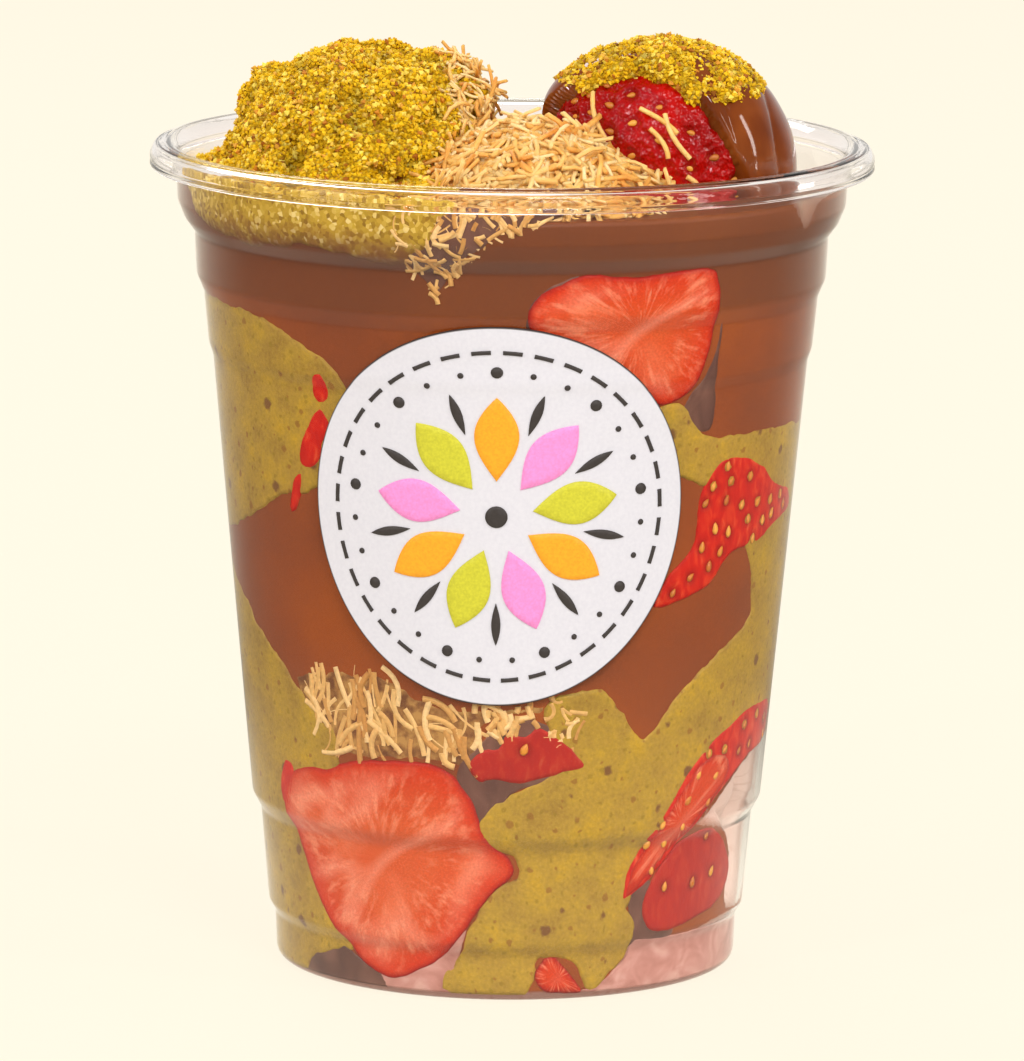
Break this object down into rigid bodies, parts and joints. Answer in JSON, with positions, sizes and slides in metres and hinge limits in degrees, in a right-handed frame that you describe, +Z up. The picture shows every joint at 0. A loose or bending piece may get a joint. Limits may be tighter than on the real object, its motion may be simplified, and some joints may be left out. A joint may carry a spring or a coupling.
{
  "type": "filled dessert cup",
  "caption": "Clear cup filled with chocolate and pistachio cream, strawberries and pastry shreds, under a heap of pistachio crumbs and a strawberry dipped in chocolate.",
  "frame": {"origin": "centre of the cup's foot, on the surface it stands on", "axes": "+Z up along the cup's axis; -Y is the front with the label; +X is to the right seen from the front"},
  "size_m": [0.098, 0.098, 0.1284],
  "materials": {
    "clear_plastic": "glossy, faintly milky",
    "label_paper": "satin printed film",
    "strawberry": "wet fruit",
    "pistachio_cream": "soft satin cream with specks",
    "toasted_pastry": "dry, toasted",
    "chocolate_cream": "smooth, glossy",
    "chocolate_coating": "high gloss",
    "pistachio_crumbs": "dry crumbs"
  },
  "bodies": {
    "root": {"cup": "clear_plastic", "label": "label_paper", "strawberry_upper": "strawberry", "strawberry_right": "strawberry", "strawberry_lower_left": "strawberry", "strawberry_lower_right": "strawberry", "strawberry_bottom_right": "strawberry", "strawberry_centre": "strawberry", "strawberry_bottom": "strawberry", "strawberry_left": "strawberry", "strawberry_back_upper": "strawberry", "strawberry_back_middle": "strawberry", "strawberry_back_lower": "strawberry", "strawberry_back_side": "strawberry", "pastry_patch": "toasted_pastry", "pistachio_cream_left": "pistachio_cream", "pistachio_cream_lower_left": "pistachio_cream", "pistachio_cream_right": "pistachio_cream", "pistachio_cream_back": "pistachio_cream", "pistachio_cream_back_lower": "pistachio_cream", "chocolate": "chocolate_cream", "pastry_heap": "toasted_pastry", "pistachio_heap": "pistachio_crumbs", "top_strawberry": "strawberry", "chocolate_coat": "chocolate_coating", "top_crumbs": "pistachio_crumbs"}
  },
  "joints": []
}
